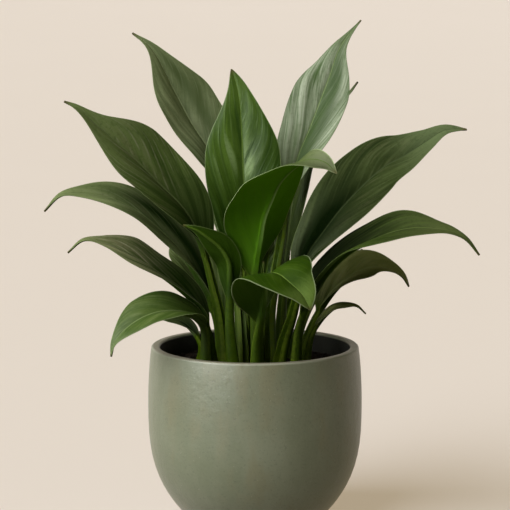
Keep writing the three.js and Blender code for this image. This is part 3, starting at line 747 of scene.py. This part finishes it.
# What is the same all along one ring of a leaf.
def ringOf(leaf, line, share):
    blade = leaf["blade"]
    onBlade = clamp((share - blade) / (1 - blade))
    foot, neck = leafForm["slimStalk" if leaf["slim"] else "wideStalk"]
    stalkHalf = lerp(foot, neck, clamp(share / blade)) * (1 - leafForm["midribTaper"] * onBlade)
    spread = outline(onBlade, leaf["drip"])
    centre, along = midribAt(line, share)
    lean = math.radians(leaf["lean"])
    side = Vector((-math.sin(lean), math.cos(lean), 0))
    side = (side - along * side.dot(along)).normalized()
    side.rotate(Matrix.Rotation(math.radians(through(leaf["roll"], onBlade)), 3, along))
    height, count, start = leaf["wave"]
    return {
        "centre": centre, "side": side, "up": along.cross(side), "onBlade": onBlade, "stalkHalf": stalkHalf,
        "stalk": clamp(share / blade), "spread": spread,
        "halfWidth": max(math.hypot(stalkHalf, leaf["width"] / 2 * spread), leafForm["tipHalfWidth"]),
        "fold": math.radians(through(leaf["fold"], onBlade)),
        "curl": math.radians(leafForm["curl"]) * min(1, onBlade * 4) + 1e-4,
        "wave": height * math.sin(math.tau * (count * onBlade + start)) * spread,
    }


# Which vein runs through a place, as a number that is the same all along that vein. The longer a
# leaf's reach, the further its veins run on towards the tip before they meet the edge.
def veinCourse(out, onBlade, reach):
    bow = leafForm["veinBow"]
    return onBlade / reach - ((1 - bow) * out + bow * out ** 3) * (1 - leafForm["veinTaper"] * onBlade)


# The upper side of a leaf at one place, the direction out of it, its pleat and its vein.
def leafSurface(leaf, ring, station, seed):
    out = abs(station)
    hand = math.copysign(1, station) if station else 0
    half, fold, curl = ring["halfWidth"], ring["fold"], ring["curl"]
    turn = fold - curl * out
    across = half * (math.sin(fold) - math.sin(turn)) / curl
    lift = half * (math.cos(turn) - math.cos(fold)) / curl
    place = ring["centre"] + ring["side"] * (hand * across)
    place = place + ring["up"] * (lift + ring["wave"] * hand * out * out)
    turn = turn * smooth(out, 0, 0.04)
    normal = ring["up"] * math.cos(turn) - ring["side"] * (hand * math.sin(turn))
    reach = leaf["reach"][0 if station < 0 else 1]
    course = veinCourse(out, ring["onBlade"], reach)
    wander = noise.noise(Vector((station * 1.3, ring["onBlade"] * 1.8, seed)))
    phase = course * leafForm["pleats"] + leafForm["pleatWander"] * wander
    pleat = 0.5 - 0.5 * math.cos(math.tau * phase)
    weight = 0.7 + 0.9 * noise.noise(Vector((course * 1.7 + hand * 5, ring["onBlade"] * 1.1, seed + 4)))
    room = ring["spread"] * smooth(out, 0.02, 0.2) * (1 - smooth(out, 0.75, 1))
    buckle = noise.noise(Vector((station * 1.7, ring["onBlade"] * 4, seed + 9))) * leafForm["buckle"]
    rise = leaf["pleat"] * (pleat - 0.5) * weight * room * leafForm["pleatLift"] + buckle * ring["spread"]
    return place + normal * rise, normal, pleat * room, course


# The share of the midrib's length at each ring: one down in the soil, then even steps up the stalk
# and along the blade.
def ringShares(leaf, length):
    stalkRings, bladeRings = leafForm["stalkRings"], leafForm["bladeRings"]
    shares = [-leafForm["stalkSunk"] / length]
    shares += [leaf["blade"] * step / stalkRings for step in range(stalkRings)]
    shares += [lerp(leaf["blade"], 1, step / bladeRings) for step in range(bladeRings + 1)]
    return shares


def buildLeaf(leaf, seed):
    line = midribLine(leaf["midrib"])
    length = line[1][-1]
    rings = [ringOf(leaf, line, share) for share in ringShares(leaf, length)]
    stations = leafForm["slimStations" if leaf["slim"] else "stations"]
    mesh = bmesh.new()
    layers = [mesh.verts.layers.float.new(name) for name in leafMeasures]
    order = mesh.verts.layers.int.new("order")
    bmesh.ops.create_grid(mesh, x_segments=stations, y_segments=len(rings) - 1, size=1)
    spots = []
    for vertex in mesh.verts:
        station = vertex.co.x
        ring = rings[round((vertex.co.y + 1) / 2 * (len(rings) - 1))]
        place, normal, pleat, course = leafSurface(leaf, ring, station, seed)
        widths = (ring["halfWidth"], ring["stalkHalf"])
        values = (station, ring["onBlade"], course, *widths, ring["stalk"], pleat, seed, 0)
        for layer, value in zip(layers, values):
            vertex[layer] = value
        vertex[order] = len(spots)
        vertex.co = place * mm
        spots.append((place, normal, ring, abs(station)))
    # the underside: the blade thins to its edge, and the stalk's ridge runs on beneath it
    grown = bmesh.ops.extrude_face_region(mesh, geom=list(mesh.faces))
    for vertex in [item for item in grown["geom"] if isinstance(item, bmesh.types.BMVert)]:
        place, normal, ring, out = spots[vertex[order]]
        offRidge = out * ring["halfWidth"] / (ring["stalkHalf"] * leafForm["ridgeWidth"])
        ridge = ring["stalkHalf"] * leafForm["ridgeDepth"] * math.sqrt(max(0, 1 - offRidge ** 2))
        thinning = out ** 3 * smooth(ring["onBlade"], 0, 0.1)
        depth = lerp(leafForm["thickness"], leafForm["edgeThickness"], thinning)
        vertex.co = (place - normal * (depth + ridge)) * mm
        vertex[layers[-1]] = 1
    bmesh.ops.recalc_face_normals(mesh, faces=mesh.faces)
    return mesh


def leafFinish(name):
    look = {**usualLook, **leafLooks[name]}
    finish = newFinish(name + "Leaf", IOR=1.45, Specular_IOR_Level=look["gloss"])
    measures = [finish.attribute(measure) for measure in leafMeasures]
    signed, along, course, halfWidth, ribHalf, stalk, pleat, grown, below = measures
    across = signed.math("ABSOLUTE")
    underside = below.rising(0.45, 0.55)
    place = finish.coordinates()
    clouds = finish.noise(place, leafParts["cloudScale"], 4)
    grain = finish.noise(place, leafParts["grainScale"], 3, 0.6)
    # streaks and veins leave the midrib and run on to the tip, and differ from one half to the other
    half = signed.rising(-0.001, 0.001) * 7 + grown
    broadPlace = finish.joined(course * leafParts["broad"] + half, across * 1.2, grown)
    narrowPlace = finish.joined(course * leafParts["narrow"] + half, across * 2.5, grown)
    hairPlace = finish.joined(course * leafParts["hair"] + half, across * 5, grown)
    broad = finish.noise(broadPlace, 1, 2, 0.5)
    narrow = finish.noise(narrowPlace, 1, 3, 0.6)
    hair = finish.noise(hairPlace, 1, 2, 0.6)
    fading = finish.noise(finish.joined(course * 3 - half, across * 3.5, grown), 1, 2)
    fading = fading * along.rising(0, 0.5)
    bent = (course + (clouds - 0.5) * 0.05) * leafParts["veins"]
    veins = (bent + half).lines(0.2) * fading.rising(0.35, 0.65)
    # a painted highlight along the tops of the pleats, where gloss would catch the light
    paintedCrestHighlight = pleat.rising(0.72, 0.98) * broad.rising(0.3, 0.6) * along.rising(0.35, 0.62)
    offRib = across * halfWidth / ribHalf
    rib = offRib.falling(0.2, 0.7) * along.rising(0, 0.05)
    ridge = offRib.falling(0.5, 1.1) * underside
    margin = ((1 - across) * halfWidth).falling(0.3, look["rimmed"]) * along.rising(0.02, 0.12)
    streaky = narrow.rising(0.35, 0.65) * 0.3 + hair.rising(0.3, 0.7) * 0.15 - 0.22
    # the blade, from its streaks to its tip, the painted highlight on its pleats and the painted shading
    # near its stalk
    tone = broad.rising(0.32, 0.68) * 0.35 + pleat * 0.25 + streaky * look["fine"] + 0.22
    colour = finish.mix(tone, look["deep"], look["light"])
    dusty = narrow.rising(0.45, 0.62) * clouds.rising(0.4, 0.62) * along.rising(0.05, 0.3)
    colour = finish.mix(dusty * look["brown"], colour, leafParts["brownTint"])
    colour = finish.mix(along.rising(*look["tipFrom"]) * 0.6, colour, look["tip"])
    colour = finish.mix(paintedCrestHighlight * look["paintedCrestHighlight"], colour, look["veinAndHighlight"])
    # painted shading near the stalk: darker where the inside of the plant lies in shade, paler where a
    # sheen is painted
    paintedBaseShading = along.falling(*look["baseShadingTo"]) * (0.7 + 0.25 * narrow.falling(0.35, 0.65))
    colour = finish.mix(paintedBaseShading, colour, look["base"])
    # the painted shade and the painted sheen beside the midrib, and the edges paled by painted light
    onRight, onLeft = signed.falling(-0.04, 0.04), signed.rising(-0.04, 0.04)
    rightShade, leftShade = look["halves"]
    nearRib = across.falling(0.4, 0.95)
    spread = nearRib + (across.rising(0.12, 0.4) - nearRib) * look["outer"]
    shade = (onRight * rightShade + onLeft * leftShade) * spread * along.falling(*look["shadeTo"])
    colour = finish.mix(shade, colour, look["shade"])
    # a painted sheen in a band beside the midrib on the right half
    paintedRibSheen = onRight * across.falling(0.12, 0.4) * along.rising(0.25, 0.4) * along.falling(0.5, 0.75)
    colour = finish.mix(paintedRibSheen * narrow.rising(0.35, 0.6) * look["paintedRibSheen"], colour, look["veinAndHighlight"])
    # painted light: each half is paled towards its edge over the part of the blade nearer the stalk
    rightEdge, leftEdge = look["edges"]
    paintedEdgeLight = signed.falling(-0.6, -0.15) * rightEdge + signed.rising(0.15, 0.6) * leftEdge
    colour = finish.mix(paintedEdgeLight * along.falling(0.35, 0.65), colour, look["veinAndHighlight"])
    clear = (1 - shade * 0.7) * (1 - paintedBaseShading * 0.7)
    colour = finish.mix(veins * look["veined"] * clear, colour, look["veinAndHighlight"])
    colour = finish.mix(grain.falling(0.3, 0.5) * 0.25, colour, look["deep"])
    # the underside, with painted shade near the stalk, then the midrib, its ridge and the edge
    belowColour = finish.mix(veins * 0.08 + narrow.rising(0.4, 0.7) * 0.06, look["under"], look["veinAndHighlight"])
    belowColour = finish.mix(along.falling(0.05, 0.5) * 0.7, belowColour, look["base"])
    colour = finish.mix(underside, colour, belowColour)
    colour = finish.mix(rib * (0.75 - 0.75 * underside), colour, look["rib"])
    colour = finish.mix(ridge * along.rising(0.15, 0.5) * 0.8, colour, look["ridge"])
    ridgeLine = offRib.falling(0.1, 0.7) * underside * along.rising(0.15, 0.4)
    colour = finish.mix(ridgeLine * look["lined"], colour, leafParts["ridgeLine"])
    colour = finish.mix(margin * 0.7, colour, look["margin"])
    # the stalk, and the dry end of the tip
    stalkColour = finish.mix(stalk.falling(0, 0.2) * 0.5, leafParts["stalk"], leafParts["stalkFoot"])
    # painted highlight: the stalk is paler towards both its edges
    stalkColour = finish.mix(across.rising(0.75, 1) * 0.5, stalkColour, leafParts["stalkEdgeHighlight"])
    stalkColour = finish.mix((grain + clouds).falling(0.8, 1.1) * 0.4, stalkColour, look["deep"])
    colour = finish.mix(along.rising(0, 0.12), stalkColour, colour)
    colour = finish.mix(along.rising(0.96, 1) * 0.7, colour, leafParts["dryTip"])
    rough = look["roughness"] + 0.14 * clouds + 0.12 * underside - 0.06 * narrow
    relief = finish.bump(veins * 0.4 + narrow * 0.5 + hair * 0.3 + grain * 0.2, leafParts["relief"], 0.7)
    return finish.feed(Base_Color=colour, Roughness=rough, Normal=relief)


finishes = {name: leafFinish(name) for name in leafLooks}
for number, (node, ownValues) in enumerate(leaves.items()):
    leaf = {**usualLeaf, **ownValues}
    slot = "young_leaf" if leaf["look"] == "shoot" else "leaf"
    mesh = buildLeaf(leaf, number * leafForm["seedStep"])
    finishPiece(mesh, node + "_veined", node, finishes[leaf["look"]], leafForm["sharp"])
print("leaves made:", len(leaves))

# Studio: a pale floor that rises slowly all round into a backdrop, two lamps and a dim room, which is
# cooler at the left and warmer at the right. Lengths in metres, angles in degrees.
studio = {
    "floor": (0.4, 0.394, 0.412), "glow": (0.392, 0.313, 0.22), "darker": 0.97, "cloudScale": 1.2,
    "flatRings": (0, 0.5, 1.5, 3), "riseTo": 15, "riseRadius": 80, "riseSteps": 12,
    "wallRadius": 4, "wallSteps": 10, "segments": 96,
    "key": {
        "azimuth": -58, "elevation": 38, "distance": 3, "spread": 60, "power": 4.3,
        "colour": (1, 0.993, 0.985),
    },
    "softbox": {
        "azimuth": -47, "elevation": 8, "distance": 2.5, "size": 2.4, "power": 74,
        "colour": (0.94, 0.98, 1),
    },
    "roomLeft": (0.1, 0.096, 0.07), "roomRight": (0.106, 0.098, 0.038),
    "camera": {
        "distance": 1.7, "height": 0.4699, "pitch": 7.35, "lens": 130.3, "sensor": 36, "nearest": 0.05,
    },
}


def buildSweep():
    radius, wall = studio["riseRadius"], studio["wallRadius"]
    riseSteps, wallSteps = studio["riseSteps"], studio["wallSteps"]
    profile = [(across, 0) for across in studio["flatRings"]]
    flat = studio["flatRings"][-1]
    for step in range(1, riseSteps + 1):
        along = (studio["riseTo"] - flat) * step / riseSteps
        profile.append((flat + along, radius - math.sqrt(radius ** 2 - along ** 2)))
    foot, height = profile[-1]
    for step in range(1, wallSteps + 1):
        turn = math.radians(90 * step / wallSteps)
        profile.append((foot + wall * math.sin(turn), height + wall * (1 - math.cos(turn))))
    mesh = spunMesh([(across / mm, up / mm) for across, up in profile], studio["segments"])
    bmesh.ops.reverse_faces(mesh, faces=mesh.faces)
    finish = newFinish("palePaper", Roughness=0.9, Emission_Color=(*studio["glow"], 1), Emission_Strength=1)
    soft = finish.noise(finish.coordinates(), studio["cloudScale"], 1)
    darker = tuple(value * studio["darker"] for value in studio["floor"])
    sweep = addMesh(mesh, "sweep", finish.feed(Base_Color=finish.mix(soft, studio["floor"], darker)))
    sweep.visible_diffuse = False  # the shade side of the plant stays as deep as in a dim room


# A lamp out in one direction, aimed at the foot of the planter.
def addLamp(name, kind):
    values = studio[name]
    data = bpy.data.lights.new(name, kind)
    data.energy = values["power"]
    data.color = values["colour"]
    lamp = addObject(name, data)
    turn, rise = math.radians(values["azimuth"]), math.radians(values["elevation"])
    source = Vector((math.sin(turn) * math.cos(rise), -math.cos(turn) * math.cos(rise), math.sin(rise)))
    lamp.location = source * values["distance"]
    lamp.rotation_euler = (-source).to_track_quat("-Z", "Y").to_euler()
    return lamp


# The key is wide and distant: it lights floor and backdrop as evenly as it lights the plant. The
# softbox only gives sheen.
def addLamps():
    key = addLamp("key", "SUN")
    key.data.angle = math.radians(studio["key"]["spread"])
    softbox = addLamp("softbox", "AREA")
    softbox.data.size = studio["softbox"]["size"]
    softbox.visible_diffuse = False


def addCamera():
    values = studio["camera"]
    data = bpy.data.cameras.new("camera")
    data.lens = values["lens"]
    data.sensor_width = values["sensor"]
    data.clip_start = values["nearest"]
    camera = addObject("camera", data)
    camera.location = (0, -values["distance"], values["height"])
    camera.rotation_euler = (math.radians(90 - values["pitch"]), 0, 0)
    bpy.context.scene.camera = camera


def lightRoom():
    room = Finish(bpy.data.worlds.new("room"), "Background")
    fromLeft = room.add("SeparateXYZ", None, {0: room.add("TexCoord")})
    share = room.add("MapRange", None, {"Value": fromLeft, "From Min": -1})
    bpy.context.scene.world = room.feed(Color=room.mix(share, studio["roomLeft"], studio["roomRight"]))
    bpy.context.scene.view_settings.view_transform = "Standard"


buildSweep()
addLamps()
lightRoom()
addCamera()
print("studio made")
